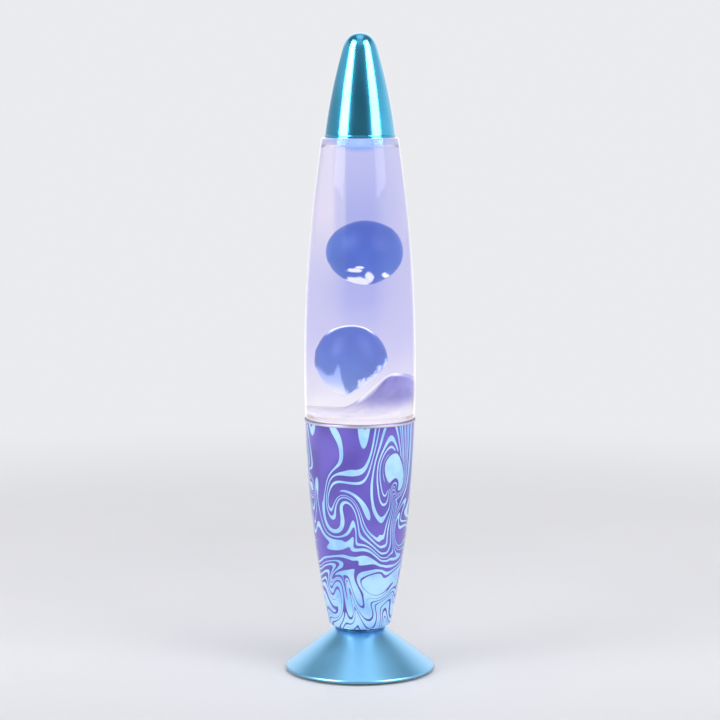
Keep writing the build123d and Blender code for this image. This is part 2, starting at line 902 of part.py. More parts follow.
def bulb_face(inset):
    """Section of the reflector bulb's glass, shrunk by an inset."""
    neck = bulb_base_radius - bulb_base_wall - seat_gap - inset
    with BuildSketch(Plane.XZ) as section:
        with BuildLine():
            Polyline(
                (0, base_top - bulb_neck_height),
                (neck, base_top - bulb_neck_height),
                (neck, base_top),
                (bulb_neck_radius - inset, neck_top),
            )
            ThreePointArc(
                (bulb_neck_radius - inset, neck_top),
                (bulb_flare_bulge_radius - inset, bulge_z),
                (bulb_radius - inset, flare_top),
            )
            Line((bulb_radius - inset, flare_top), (bulb_radius - inset, band_top - inset))
            Spline(
                (bulb_radius - inset, band_top - inset),
                (bulb_dome_radius, bulb_top - bulb_dome_drop - inset),
                (0, bulb_top - inset),
                tangents=[(0, 1), (-1, 0)],
            )
            Line((0, bulb_top - inset), (0, base_top - bulb_neck_height))
        make_face()
    return section


with BuildPart() as bulb_glass:
    with BuildSketch(Plane.XZ):
        add(bulb_face(0).sketch_local)
        add(bulb_face(bulb_wall).sketch_local, mode=Mode.SUBTRACT)
    revolve(axis=Axis.Z)
finish(bulb_glass, "bulb_glass")

stem_bottom = base_z + bulb_base_wall
stem_top = stem_bottom + stem_height
with BuildPart() as bulb_stem:
    with BuildSketch(Plane.XY.offset(stem_bottom)):
        Circle(stem_radius)
    extrude(amount=stem_height, taper=stem_taper)
finish(bulb_stem, "bulb_stem")

support_top = stem_top + support_height
with BuildPart() as support_wires:
    for side in (1, -1):
        foot = (side * stem_radius / 3, 0, stem_top)
        bend = (side * stem_radius / 3, 0, stem_top + support_height / 3)
        tip = (side * support_spread, 0, support_top)
        with BuildLine():
            wire_path = FilletPolyline(foot, bend, tip, radius=support_wire * 3)
        with BuildSketch(Plane(origin=foot, z_dir=(0, 0, 1))):
            Circle(support_wire / 2)
        sweep(path=wire_path)
finish(support_wires, "support_wires")

filament_z = support_top + filament_wire / 2 + seat_gap
filament_reach = support_spread + support_wire / 2
with BuildPart() as filament:
    with BuildLine():
        filament_path = ThreePointArc(
            (-filament_reach, 0, filament_z),
            (0, 0, filament_z + filament_sag),
            (filament_reach, 0, filament_z),
        )
    with BuildSketch(Plane(origin=filament_path @ 0, z_dir=filament_path % 0)):
        Circle(filament_wire / 2)
    sweep(path=filament_path)
finish(filament, "filament")


# Toggle switch: body under the wall, bushing through it, nut outside, and a lever that leans to
# one side and turns on a cross pin held by the bushing
switch_face = -foot_wall - switch_drop
pin_plane = Plane(origin=switch_plane.origin, x_dir=switch_plane.x_dir, z_dir=switch_plane.y_dir)
with BuildPart() as switch_body:
    with BuildSketch(switch_plane.offset(switch_face)):
        RectangleRounded(switch_body_width, switch_body_length, foot_wall)
    extrude(amount=-switch_body_depth)
    with BuildSketch(switch_plane.offset(switch_face + seat_gap)):
        Circle(bushing_bore)
    extrude(amount=-lever_stub - overrun, mode=Mode.SUBTRACT)
finish(switch_body, "switch_body")

with BuildPart() as switch_bushing:
    with BuildSketch(switch_plane.offset(switch_face)):
        Circle(bushing_radius)
    extrude(amount=bushing_reach - switch_face)
    with BuildSketch(switch_plane.offset(switch_face)):
        Circle(bushing_bore)
    extrude(amount=-switch_face, mode=Mode.SUBTRACT)
    with BuildSketch(switch_plane):
        Circle(bushing_bore)
    with BuildSketch(switch_plane.offset(bushing_reach)):
        Circle(bushing_mouth)
    loft(mode=Mode.SUBTRACT)
    with BuildSketch(pin_plane):
        Circle(lever_pin_radius + bushing_play)
    extrude(amount=bushing_radius, both=True, mode=Mode.SUBTRACT)
finish(switch_bushing, "switch_bushing")

with BuildPart() as switch_nut:
    with BuildSketch(switch_plane.offset(seat_gap)):
        RegularPolygon(radius=switch_nut_flats / 2, side_count=6, major_radius=False)
        Circle(bushing_radius + seat_gap, mode=Mode.SUBTRACT)
    extrude(amount=switch_nut_height)
finish(switch_nut, "switch_nut")

with BuildPart() as switch_terminals:
    with BuildSketch(switch_plane.offset(switch_face - switch_body_depth)):
        with GridLocations(terminal_spacing, 0, 2, 1):
            Rectangle(terminal_thickness, terminal_width)
    extrude(amount=-terminal_length)
finish(switch_terminals, "switch_terminals")

lever_turn = Axis((0, 0, 0), switch_plane.y_dir)
lever_plane = Plane(
    origin=switch_plane.origin,
    x_dir=switch_plane.x_dir.rotate(lever_turn, -lever_swing),
    z_dir=switch_plane.z_dir.rotate(lever_turn, -lever_swing),
)
lever_section_plane = Plane(
    origin=lever_plane.origin, x_dir=lever_plane.x_dir, z_dir=lever_plane.y_dir * -1
)
with BuildPart() as switch_lever:
    with BuildSketch(lever_section_plane) as lever_section:
        with BuildLine():
            Polyline(
                (0, -lever_stub),
                (lever_stub_radius, -lever_stub),
                (lever_stub_radius, 0),
                (lever_stem, 0),
                (lever_stem, bushing_reach),
                (lever_bat, lever_length - lever_bat),
            )
            RadiusArc((lever_bat, lever_length - lever_bat), (0, lever_length), -lever_bat)
            Line((0, lever_length), (0, -lever_stub))
        make_face()
        with BuildLine():
            CenterArc((0, 0), lever_ball, -90, 180)
            Line((0, lever_ball), (0, -lever_ball))
        make_face()
    revolve(axis=Axis(lever_plane.origin, lever_plane.z_dir))
    with BuildSketch(pin_plane):
        Circle(lever_pin_radius)
    extrude(amount=bushing_radius - lever_pin_inset, both=True)
finish(switch_lever, "switch_lever")


# Cord outlet: a level tube through the slope, with a collar on each side that follows the wall
def slope_band(low, high):
    """Ring that hugs the foot's slope between two distances from its outer face."""
    top, bottom = foot_top, foot_bottom
    with BuildPart() as band:
        with BuildSketch(Plane.XZ):
            with BuildLine():
                Polyline(
                    (cone_radius(top, low), top),
                    (cone_radius(top, high), top),
                    (cone_radius(bottom, high), bottom),
                    (cone_radius(bottom, low), bottom),
                    close=True,
                )
            make_face()
        revolve(axis=Axis.Z)
        with BuildSketch(grommet_plane.offset(-grommet_length)):
            Circle(grommet_collar_radius)
        extrude(amount=grommet_length * 3, mode=Mode.INTERSECT)
    return band


outer_collar = slope_band(seat_gap, seat_gap + grommet_collar_height)
inner_collar = slope_band(-foot_wall - seat_gap - grommet_collar_height, -foot_wall - seat_gap)
with BuildPart() as cord_grommet:
    with BuildSketch(grommet_plane):
        Circle(grommet_radius)
    extrude(amount=grommet_length)
    fillet(cord_grommet.edges().filter_by(GeomType.CIRCLE), grommet_round)
    add(outer_collar.part)
    add(inner_collar.part)
    with BuildSketch(grommet_plane.offset(-overrun)):
        Circle(grommet_bore)
    extrude(amount=grommet_length + overrun * 2, mode=Mode.SUBTRACT)
finish(cord_grommet, "cord_grommet")


# Switch lead: from a terminal down, across and up the pipe to the lampholder
terminal_foot = switch_plane.offset(switch_face - switch_body_depth - terminal_length)
lead_start = terminal_foot.from_local_coords((terminal_spacing / 2, 0, 0))
lead_down = terminal_foot.from_local_coords((terminal_spacing / 2, 0, -lead_dip))
lead_turn = Vector(wire_way_spread / 2, 0, pipe_bottom - nut_height)
lead_end = Vector(wire_way_spread / 2, 0, pipe_top)
with BuildPart() as switch_lead:
    with BuildLine():
        lead_path = FilletPolyline(lead_start, lead_down, lead_turn, lead_end, radius=lead_radius * 2)
    with BuildSketch(Plane(origin=lead_start, z_dir=lead_path % 0)):
        Circle(lead_radius)
    sweep(path=lead_path)
finish(switch_lead, "switch_lead")
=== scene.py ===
import json
import math

import bmesh
import bpy
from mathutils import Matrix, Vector, noise


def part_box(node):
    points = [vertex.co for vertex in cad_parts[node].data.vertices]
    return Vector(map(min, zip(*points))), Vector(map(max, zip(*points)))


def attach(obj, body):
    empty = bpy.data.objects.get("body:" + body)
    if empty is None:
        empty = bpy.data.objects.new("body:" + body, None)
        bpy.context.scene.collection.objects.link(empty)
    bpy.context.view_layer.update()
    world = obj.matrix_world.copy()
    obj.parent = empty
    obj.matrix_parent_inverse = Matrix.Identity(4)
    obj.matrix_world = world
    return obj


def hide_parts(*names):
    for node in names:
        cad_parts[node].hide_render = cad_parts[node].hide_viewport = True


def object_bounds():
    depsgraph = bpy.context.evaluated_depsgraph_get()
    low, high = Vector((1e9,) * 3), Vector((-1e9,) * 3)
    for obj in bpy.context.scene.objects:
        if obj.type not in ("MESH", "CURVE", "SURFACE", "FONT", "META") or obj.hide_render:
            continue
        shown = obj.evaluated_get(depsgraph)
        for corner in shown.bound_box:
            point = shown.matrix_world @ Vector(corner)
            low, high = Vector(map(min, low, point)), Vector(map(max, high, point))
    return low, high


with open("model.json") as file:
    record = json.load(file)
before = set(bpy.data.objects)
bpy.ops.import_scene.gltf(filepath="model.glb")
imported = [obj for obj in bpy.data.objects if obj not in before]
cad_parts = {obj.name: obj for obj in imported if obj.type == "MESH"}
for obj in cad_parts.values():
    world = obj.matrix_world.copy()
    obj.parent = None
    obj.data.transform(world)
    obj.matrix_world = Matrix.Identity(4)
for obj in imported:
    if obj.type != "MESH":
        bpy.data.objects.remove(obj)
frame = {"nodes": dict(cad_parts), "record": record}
CAD_LOW, CAD_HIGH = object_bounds()

# Liquid motion lamp, lit. Metres, +Z up, front towards -Y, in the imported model's frame.

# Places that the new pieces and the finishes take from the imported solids
BOTTLE_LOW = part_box("glass_bottle")[0]
LEDGE_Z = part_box("rim_ring")[1].z + 0.0003
SHOULDER_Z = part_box("top_cap")[0].z
POOL_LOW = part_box("wax_pool")[0]
UPPER_LOW, UPPER_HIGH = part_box("upper_wax")
LOWER_LOW, LOWER_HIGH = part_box("lower_wax")
FILL_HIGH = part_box("liquid")[1]
HOUSING_LOW, HOUSING_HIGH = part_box("housing")
BULB_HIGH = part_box("bulb_glass")[1]

# The globe's glass, as its solid has it: its wall, the rise and radius of the dome in its floor, the
# outer radii of its long arc (low end, middle and high end), that arc's ends, and the neck's bore
GLASS_WALL = 0.0022
DOME_RISE, DOME_RADIUS = 0.0024, 0.0146
ARC_RADII = (0.0283, 0.02725, 0.0198)
ARC_LOW_Z, ARC_HIGH_Z = LEDGE_Z + 0.00095, SHOULDER_Z - 0.0014
NECK_BORE = 0.0091


def arc_radius(profile, height):
    """Radius at a height on the arc through three (radius, height) points."""
    (ax, ay), (bx, by), (cx, cy) = profile
    first, middle, last = [x * x + y * y for x, y in profile]
    twice = 2 * (ax * (by - cy) + bx * (cy - ay) + cx * (ay - by))
    ox = (first * (by - cy) + middle * (cy - ay) + last * (ay - by)) / twice
    oy = (first * (cx - bx) + middle * (ax - cx) + last * (bx - ax)) / twice
    reach = math.hypot(ax - ox, ay - oy)
    return ox + math.sqrt(reach * reach - (height - oy) ** 2)


def piece(name, mesh_maker, material, body, slot, *nodes):
    """A new visible piece from a bmesh, riding on a body in place of CAD nodes."""
    mesh = bpy.data.meshes.new(name)
    shape = bmesh.new()
    mesh_maker(shape)
    bmesh.ops.recalc_face_normals(shape, faces=shape.faces)
    for face in shape.faces:
        face.smooth = True
    shape.to_mesh(mesh)
    shape.free()
    thing = bpy.data.objects.new(name, mesh)
    bpy.context.scene.collection.objects.link(thing)
    mesh.materials.append(material)
    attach(thing, body)
    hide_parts(*nodes)


def skin(shape, low, high, rings):
    """Faces from a low point through rings of equally many points, the lowest first, to a high point."""
    steps = len(rings[0])
    for i in range(steps):
        j = (i + 1) % steps
        shape.faces.new((low, rings[0][j], rings[0][i]))
        shape.faces.new((high, rings[-1][i], rings[-1][j]))
        for below, above in zip(rings, rings[1:]):
            shape.faces.new((below[i], below[j], above[j], above[i]))


def circle(radius, steps):
    """Points (x, y) round the axis."""
    angles = [math.tau * i / steps for i in range(steps)]
    return [(radius * math.cos(a), radius * math.sin(a)) for a in angles]


# Node materials
class Nodes:
    """Short ways to add nodes to a tree. Each takes sockets or plain values and gives a socket."""

    def __init__(self, tree, coordinates):
        self.tree = tree
        self.where = self.add("ShaderNodeTexCoord").outputs[coordinates]

    def add(self, kind, inputs=None, **settings):
        """The node itself, with its settings made and its inputs fed."""
        node = self.tree.nodes.new(kind)
        for key, value in settings.items():
            setattr(node, key, value)
        for key, value in (inputs or {}).items():
            self.feed(node.inputs[key], value)
        return node

    def feed(self, socket, value):
        """Links another socket to this one, or sets its value."""
        if isinstance(value, bpy.types.NodeSocket):
            self.tree.links.new(value, socket)
        else:
            socket.default_value = value

    def math(self, operation, *values):
        return self.add("ShaderNodeMath", dict(enumerate(values)), operation=operation).outputs[0]

    def plus(self, first, second):
        return self.math("ADD", first, second)

    def minus(self, first, second):
        return self.math("SUBTRACT", first, second)

    def times(self, first, second):
        return self.math("MULTIPLY", first, second)

    def over(self, first, second):
        return self.math("DIVIDE", first, second)

    def most(self, *values):
        """The largest of some values."""
        total = values[0]
        for value in values[1:]:
            total = self.math("MAXIMUM", total, value)
        return total

    def size(self, value):
        """The value without its sign."""
        return self.math("ABSOLUTE", value)

    def swing(self, value, amount, middle=0.5):
        """value less its middle, times an amount: what a noise adds to something else."""
        return self.times(self.minus(value, middle), amount)

    def squares(self, first, second):
        """The sum of two squares."""
        return self.plus(self.times(first, first), self.times(second, second))

    def split(self, at=None):
        return self.add("ShaderNodeSeparateXYZ", {0: self.where if at is None else at}).outputs

    def join(self, x, y, z):
        return self.add("ShaderNodeCombineXYZ", {0: x, 1: y, 2: z}).outputs[0]

    def stretch(self, x, y, z):
        """The coordinates times three factors."""
        inputs = {0: self.where, 1: (x, y, z)}
        return self.add("ShaderNodeVectorMath", inputs, operation="MULTIPLY").outputs[0]

    def normal(self):
        """The surface's normal, as x, y and z."""
        return self.split(self.add("ShaderNodeNewGeometry").outputs["Normal"])

    def noise(self, scale, detail, rough=0.5, at=None):
        inputs = {"Vector": self.where if at is None else at, "Scale": scale, "Detail": detail,
                  "Roughness": rough}
        return self.add("ShaderNodeTexNoise", inputs).outputs[0]

    def between(self, value, low, high, first=0.0, last=1.0):
        """Goes smoothly from first to last as value goes from low to high, and holds past both."""
        inputs = {"Value": value, "From Min": low, "From Max": high, "To Min": first, "To Max": last}
        return self.add("ShaderNodeMapRange", inputs, interpolation_type="SMOOTHSTEP").outputs[0]

    def ramp(self, value, stops, kind="LINEAR"):
        """A colour ramp of (place, colour) stops."""
        node = self.add("ShaderNodeValToRGB", {"Fac": value})
        band = node.color_ramp
        band.interpolation = kind
        while len(band.elements) < len(stops):
            band.elements.new(1.0)
        for element, (place, colour) in zip(band.elements, stops):
            element.position, element.color = place, (*colour, 1)
        return node.outputs["Color"]

    def curve(self, value, stops, kind="LINEAR"):
        """A ramp of (place, height) stops."""
        return self.ramp(value, [(place, (height, height, height)) for place, height in stops], kind)

    def mix(self, factor, first, last):
        """Mixes two colours."""
        node = self.add("ShaderNodeMix", data_type="RGBA")
        for socket, value in zip((node.inputs[0], node.inputs[6], node.inputs[7]), (factor, first, last)):
            self.feed(socket, value if not isinstance(value, tuple) else (*value, 1))
        return node.outputs[2]

    def seen_by(self, *kinds):
        """1 for rays of one of these kinds, and otherwise 0."""
        path = self.add("ShaderNodeLightPath")
        return self.most(*[path.outputs[kind] for kind in kinds])


class Maker(Nodes):
    """One material: a Principled shader and the nodes in front of it."""

    def __init__(self, name, **sockets):
        self.material = bpy.data.materials.new(name)
        self.material.use_nodes = True
        super().__init__(self.material.node_tree, "Object")
        self.shader = self.tree.nodes["Principled BSDF"]
        self.out = self.tree.nodes["Material Output"]
        for socket, value in sockets.items():
            self.shader.inputs[socket.replace("_", " ")].default_value = value

    def into(self, name, value):
        self.feed(self.shader.inputs[name], value)

    def bump(self, height, distance, strength):
        inputs = {"Height": height, "Distance": distance, "Strength": strength}
        self.into("Normal", self.add("ShaderNodeBump", inputs).outputs[0])

    def swap_for(self, factor, other):
        """Gives way to another shader, by a factor."""
        inputs = {0: factor, 1: self.shader.outputs[0], 2: other.outputs[0]}
        self.feed(self.out.inputs["Surface"], self.add("ShaderNodeMixShader", inputs).outputs[0])

    def let_lamps_through(self, tint):
        """Lamp rays pass straight through, tinted, so that what is inside gets their light."""
        clear = self.add("ShaderNodeBsdfTransparent", {"Color": (*tint, 1)})
        self.swap_for(self.seen_by("Is Shadow Ray"), clear)


def worn_metal(name, dark, light, rough, metallic=1.0, grain=900.0):
    """Metal with fine cloudy tone, tiny scratches and uneven gloss."""
    m = Maker(name, Metallic=metallic)
    cloud = m.noise(55.0, 4.0)
    m.into("Base Color", m.mix(m.between(cloud, 0.3, 0.7), dark, light))
    scratch = m.noise(grain, 2.0, at=m.stretch(1.0, 1.0, 0.06))
    wear = m.plus(m.times(scratch, 0.5), m.times(cloud, 0.5))
    m.into("Roughness", m.between(wear, 0.3, 0.7, rough * 0.75, rough * 1.3))
    m.bump(scratch, 0.00001, 0.3)
    return m.material


def moulded(name, dark, light, rough, grain=700.0):
    """Moulded plastic or rubber: faint mottling, a fine grain and scuffed gloss."""
    m = Maker(name)
    cloud = m.noise(60.0, 3.0)
    m.into("Base Color", m.mix(m.between(cloud, 0.35, 0.65), dark, light))
    m.into("Roughness", m.between(m.noise(180.0, 3.0), 0.3, 0.7, rough * 0.85, rough * 1.15))
    m.bump(m.noise(grain, 3.0), 0.00004, 0.5)
    return m.material


def spun_metal(name, dark, light, rough, lines, depth, **sockets):
    """Lacquered metal spun on a lathe: hair-fine rings round the axis and a soft sheen."""
    m = Maker(name, Metallic=1.0, **sockets)
    x, y, z = m.split()
    along = m.minus(m.math("SQRT", m.squares(x, y)), z)
    ring = m.noise(1.0, 3.0, at=m.join(m.times(along, lines), m.times(z, lines * 0.3), 0.0))
    cloud = m.noise(38.0, 3.0)
    tone = m.plus(m.times(ring, 0.2), m.times(cloud, 0.8))
    m.into("Base Color", m.mix(m.between(tone, 0.35, 0.65), dark, light))
    m.into("Roughness", m.between(tone, 0.35, 0.65, rough * 0.93, rough * 1.07))
    m.bump(ring, depth, 0.3)
    return m.material


def ring_with_painted_shadow():
    """Satin ring with a painted shadow along its top edge, where the glass shades it."""
    m = Maker("satin_ring", Metallic=1.0)
    height = m.split()[2]
    cloud = m.noise(70.0, 3.0)
    # Painted shadow: a darker line at the ring's top edge, under the glass
    painted_shadow_line = m.between(height, LEDGE_Z - 0.0011, LEDGE_Z - 0.0006)
    satin = m.mix(m.between(cloud, 0.3, 0.7), (0.58, 0.57, 0.63), (0.68, 0.67, 0.73))
    m.into("Base Color", m.mix(painted_shadow_line, satin, (0.26, 0.22, 0.38)))
    m.into("Roughness", m.between(cloud, 0.3, 0.7, 0.38, 0.46))
    return m.material


# Marbled print: a purple ground with light blue ink drawn into eyes, drips and long curls
PURPLE, DEEP_PURPLE = (0.135, 0.093, 0.52), (0.085, 0.055, 0.38)
PALE_BLUE, SKY_BLUE = (0.42, 0.70, 0.93), (0.25, 0.52, 0.86)
LINING = (0.17, 0.15, 0.34)
# Each swirl: azimuth in degrees from the front, height share, reach in mm, turn in radians
SWIRLS = [(-24, 0.58, 13, -3.0), (12, 0.27, 15, 2.4), (-40, 0.16, 11, -2.6), (66, 0.45, 13, -2.5),
          (-88, 0.50, 14, 2.7), (118, 0.66, 14, 2.9), (-125, 0.32, 16, 2.6), (165, 0.48, 14, -2.7),
          (150, 0.18, 12, 2.4), (62, 0.14, 12, 2.5), (-160, 0.74, 11, -2.4), (46, 0.72, 6, 2.9),
          (-74, 0.74, 6, -2.7), (156, 0.75, 6, 2.6), (-12, 0.10, 9, -2.6)]
# Each ringed eye: azimuth, height share, half width and half height in mm
EYES = [(38, 0.79, 9, 20), (-82, 0.80, 8, 17), (150, 0.82, 8, 18)]
EYE_RISE = 0.46
# The radius at which the print is laid flat, and the height that noise moves it by, in mm
PRINT_RADIUS, PRINT_DRIFT = 25.0, 22.0
# The flow is noise on a cylinder: its radius in noise units, and mm of height per noise unit
UPPER_FLOW, LOWER_FLOW = (1.33, 74.0), (0.85, 27.0)
# Sag in mm of the long curves, and what they add to the flow per mm of height
SAG, SWEEP = 20.0, 0.0095
# Repeats of the lines per unit of flow, and the height of ink across one repeat
BANDS = 4.1
INK_LINES = [(0.0, 0.0), (0.17, 1.0), (0.38, 0.1), (0.60, 0.95), (0.72, 0.28), (0.85, 0.86), (1.0, 0.0)]


def swirled(m, around, up, place, height, reach, turn):
    """Turns the flat coordinates about one place, most at its middle and none past its reach."""
    aside, above = m.minus(around, place), m.minus(up, height)
    squares = m.plus(m.times(aside, aside), m.times(above, m.times(above, 0.5)))
    fade = m.math("EXPONENT", m.over(squares, -reach * reach * 0.5))
    angle = m.times(fade, turn)
    cos, sin = m.math("COSINE", angle), m.math("SINE", angle)
    x = m.minus(m.times(aside, cos), m.times(above, sin))
    y = m.plus(m.times(aside, sin), m.times(above, cos))
    return m.plus(x, place), m.plus(y, height)


def marbled_print():
    """The swirl on the housing's outside, as lacquered ink, and a plain lining inside."""
    m = Maker("marbled_print", Coat_Weight=0.6, Coat_Roughness=0.08)
    x, y, z = m.split()
    tall = (HOUSING_HIGH.z - HOUSING_LOW.z) * 1000.0
    up = m.times(m.minus(z, HOUSING_LOW.z), 1000.0)
    share = m.over(up, tall)
    around = m.times(m.math("ARCTAN2", x, m.times(y, -1.0)), PRINT_RADIUS)
    drift = m.noise(28.0, 1.0)
    up = m.plus(up, m.swing(drift, PRINT_DRIFT))
    for azimuth, height, reach, turn in SWIRLS:
        place = math.radians(azimuth) * PRINT_RADIUS
        around, up = swirled(m, around, up, place, height * tall, reach, turn)
    angle = m.over(around, PRINT_RADIUS)
    sin, cos = m.math("SINE", angle), m.math("COSINE", angle)

    def on_cylinder(radius, unit):
        return m.join(m.times(sin, radius), m.times(cos, radius), m.over(up, unit))

    upper = m.noise(1.0, 0.4, 0.4, at=on_cylinder(*UPPER_FLOW))
    lower = m.noise(1.0, 0.0, at=on_cylinder(*LOWER_FLOW))
    flow = m.mix(m.between(share, 0.22, 0.46), lower, upper)

    # Long curves that sag at the front, from the middle of the height down
    sag = m.times(m.math("COSINE", m.plus(angle, 0.3)), SAG)
    sweep = m.times(m.minus(m.plus(up, sag), 0.72 * tall), SWEEP)
    flow = m.plus(flow, m.times(sweep, m.between(share, 0.72, 0.45)))

    # Eyes: hills in the flow that the lines ring, with an inked core in a bare moat
    cores, moats = [], []
    for azimuth, height, wide, high in EYES:
        aside = m.over(m.minus(around, math.radians(azimuth) * PRINT_RADIUS), wide)
        above = m.over(m.minus(up, height * tall), high)
        far = m.plus(m.squares(aside, above), m.swing(drift, 0.3))
        hill = m.math("EXPONENT", m.times(far, -1.0))
        flow = m.plus(flow, m.times(hill, EYE_RISE))
        cores.append(m.between(far, 0.27, 0.24))
        moats.append(m.between(far, 0.38, 0.35))

    # Lines: ink wherever the wave across a repeat stands over a level that varies with the height
    line = m.curve(m.math("FRACT", m.times(flow, BANDS)), INK_LINES)
    uneven = m.plus(share, m.swing(drift, 0.35))
    level = m.between(uneven, 0.10, 0.44, 0.38, 0.66)
    level = m.plus(level, m.swing(m.noise(36.0, 1.0), 0.6))
    inked = m.between(m.minus(line, level), -0.03, 0.03)
    inked = m.mix(m.most(*moats), inked, m.most(*cores))
    ground = m.mix(m.between(m.noise(45.0, 1.0), 0.35, 0.65), DEEP_PURPLE, PURPLE)
    ink = m.mix(m.between(m.noise(70.0, 3.0), 0.35, 0.65), SKY_BLUE, PALE_BLUE)
    normal = m.normal()
    outward = m.plus(m.times(normal[0], x), m.times(normal[1], y))
    lining = m.between(outward, 0.0, -0.004)
    m.into("Base Color", m.mix(lining, m.mix(inked, ground, ink), LINING))
    m.into("Roughness", m.between(m.noise(120.0, 1.0), 0.3, 0.7, 0.20, 0.26))
    return m.material


# Wax: indigo, with the bulb's light from below painted in: a painted glow low down, painted shade higher up
# and painted glints where the light gathers
WAX_SHADED_TOP, WAX_BLUE = (0.034, 0.102, 0.31), (0.060, 0.162, 0.42)
WAX_LIT, WAX_HALF_LIT = (0.13, 0.20, 0.46), (0.078, 0.134, 0.32)
UPPER_SHADOW, LOWER_SHADOW = (0.035, 0.067, 0.195), (0.042, 0.066, 0.195)
GLINT_BLUE, GLINT_WHITE, GLOW_WHITE = (0.28, 0.39, 0.64), (0.52, 0.50, 0.45), (1.0, 0.96, 0.68)
# The upper blob's painted glints, in shares of its half width and height: place across, place up, half
# width, half height. A crescent of two, two thin flecks above it and one at the right.
UPPER_GLINTS = [(-0.17, 0.065, 0.36, 0.100), (0.14, 0.145, 0.14, 0.09), (-0.28, 0.255, 0.24, 0.036),
                (-0.12, 0.305, 0.14, 0.024), (0.56, 0.17, 0.09, 0.05)]
# The lower blob's flame-shaped painted glint: its top's height share across the blob
FLAME_GLINT_TOP = [(0.0, 0.46), (0.15, 0.36), (0.22, 0.38), (0.28, 0.50), (0.31, 0.49), (0.36, 0.28),
         (0.43, 0.14), (0.54, 0.0)]


def wax_blob(name, low, high, shadow, painted_glints):
    """Wax of one blob, with a painted glow from below and painted shade higher up. Its last argument,
    called with (m, aside, share, ragged), gives the painted glints' strength, 0 to 1 and a bit over.
    """
    m = Maker(name, Subsurface_Weight=0.15, Subsurface_Scale=0.003, Specular_IOR_Level=0.15)
    x, _, z = m.split()
    share = m.over(m.minus(z, low.z), high.z - low.z)
    aside = m.over(m.minus(x, (low.x + high.x) / 2), (high.x - low.x) / 2)
    cloud = m.noise(75.0, 3.0)
    # Painted light from below: the base colour darkens up the blob as painted shade, and the emission is a
    # painted glow, strongest low down
    depth = m.plus(share, m.swing(cloud, 0.5))
    body = m.mix(m.between(depth, 0.0, 0.9), WAX_BLUE, WAX_SHADED_TOP)
    lit = m.ramp(depth, [(0.0, WAX_LIT), (0.25, WAX_HALF_LIT), (1.0, shadow)])
    ragged = m.minus(m.noise(260.0, 4.0, 0.65), 0.5)
    spot = painted_glints(m, aside, share, ragged)
    halo = m.between(spot, 0.0, 0.55)
    heart = m.between(spot, 0.45, 1.0)
    # Painted glints: a blue halo round a white heart, in base colour and emission
    m.into("Base Color", m.mix(heart, m.mix(halo, body, GLINT_BLUE), GLINT_WHITE))
    m.into("Emission Color", m.mix(heart, m.mix(halo, lit, GLINT_BLUE), GLOW_WHITE))
    m.into("Emission Strength", m.between(heart, 0.0, 1.0, 0.40, 0.84))
    m.into("Roughness", m.between(cloud, 0.3, 0.7, 0.3, 0.45))
    m.bump(m.noise(150.0, 3.0), 0.0004, 0.4)
    return m.material


def upper_painted_glints(m, aside, share, ragged):
    """Painted glints under the upper blob: broken, soft-edged ragged ovals, 1 at their hearts."""
    spots = []
    for across, up, wide, high in UPPER_GLINTS:
        far = m.squares(m.over(m.minus(aside, across), wide), m.over(m.minus(share, up), high))
        spots.append(m.between(m.plus(far, m.times(ragged, 2.2)), 1.35, 0.35))
    return m.most(*spots)


def lower_painted_glints(m, aside, share, ragged):
    """Painted highlights on the lower blob: a flame-shaped glint at the lower left, a glint arc over the
    top and torn strips of glint at the right.
    """
    flame = m.curve(m.times(m.plus(aside, 1.0), 0.5), FLAME_GLINT_TOP, "EASE")
    licked = m.minus(m.plus(flame, m.times(ragged, 0.10)), share)
    flame_highlight = m.times(m.between(licked, -0.02, 0.10), m.between(share, 0.45, 0.05, 0.35, 0.75))
    # Painted glint: a pale arc over the blob's top
    back = m.size(m.minus(m.split()[1], (LOWER_LOW.y + LOWER_HIGH.y) / 2 + 0.001))
    arc = m.times(m.between(back, 0.0050, 0.0022), m.between(m.size(aside), 0.76, 0.50))
    arc = m.times(arc, m.between(share, 0.75, 0.86))
    slope = m.minus(share, m.plus(m.times(aside, 0.40), 0.04))
    torn = m.noise(170.0, 3.0, 0.6, at=m.stretch(1.6, 1.0, 0.5))
    shred = m.minus(m.swing(torn, 0.55, middle=0.36), slope)
    streak_glints = m.between(shred, -0.02, 0.05, 0.0, 0.72)
    return m.most(flame_highlight, arc, streak_glints)


def bed_wax():
    """Wax at the bottom of the globe: painted bulb light, white low down, lilac on the mound, with a
    painted highlight along its ridge.
    """
    m = Maker("wax_bed_glow", Roughness=0.35, Subsurface_Weight=0.15, Subsurface_Scale=0.003,
              Specular_IOR_Level=0.0)
    x, y, z = m.split()
    cloud = m.noise(150.0, 4.0, 0.55, at=m.stretch(1.0, 1.0, 0.3))
    rise = m.plus(m.minus(z, LEDGE_Z), m.times(cloud, 0.010))
    # Painted light: pale and glowing low down as if lit by the bulb, fading with height
    bulb_glow = m.between(rise, 0.0075, 0.0175, 1.0, 0.0)
    # Painted highlight along the mound's ridge
    ridge_highlight_width = m.between(x, 0.004, 0.012, 0.0090, 0.0036)
    ridge = m.between(m.size(m.minus(y, 0.0008)), ridge_highlight_width, 0.0020)
    ridge = m.times(ridge, m.between(x, 0.019, 0.014, 0.35, 1.0))
    ridge = m.times(ridge, m.between(x, -0.004, 0.001))
    lit = m.most(bulb_glow, m.times(ridge, 0.85))
    dusk = m.mix(m.between(cloud, 0.35, 0.65), (0.105, 0.105, 0.28), (0.20, 0.19, 0.39))
    flat = m.times(m.between(m.normal()[2], 0.75, 0.95), bulb_glow)
    strength = m.plus(m.between(flat, 0.0, 1.0, 0.17, 0.11), m.times(ridge, 0.40))
    m.into("Base Color", m.mix(lit, dusk, (0.58, 0.56, 0.54)))
    m.into("Emission Color", m.mix(lit, (0.12, 0.11, 0.30), (1.0, 0.95, 0.88)))
    m.into("Emission Strength", strength)
    m.bump(cloud, 0.0006, 0.5)
    return m.material


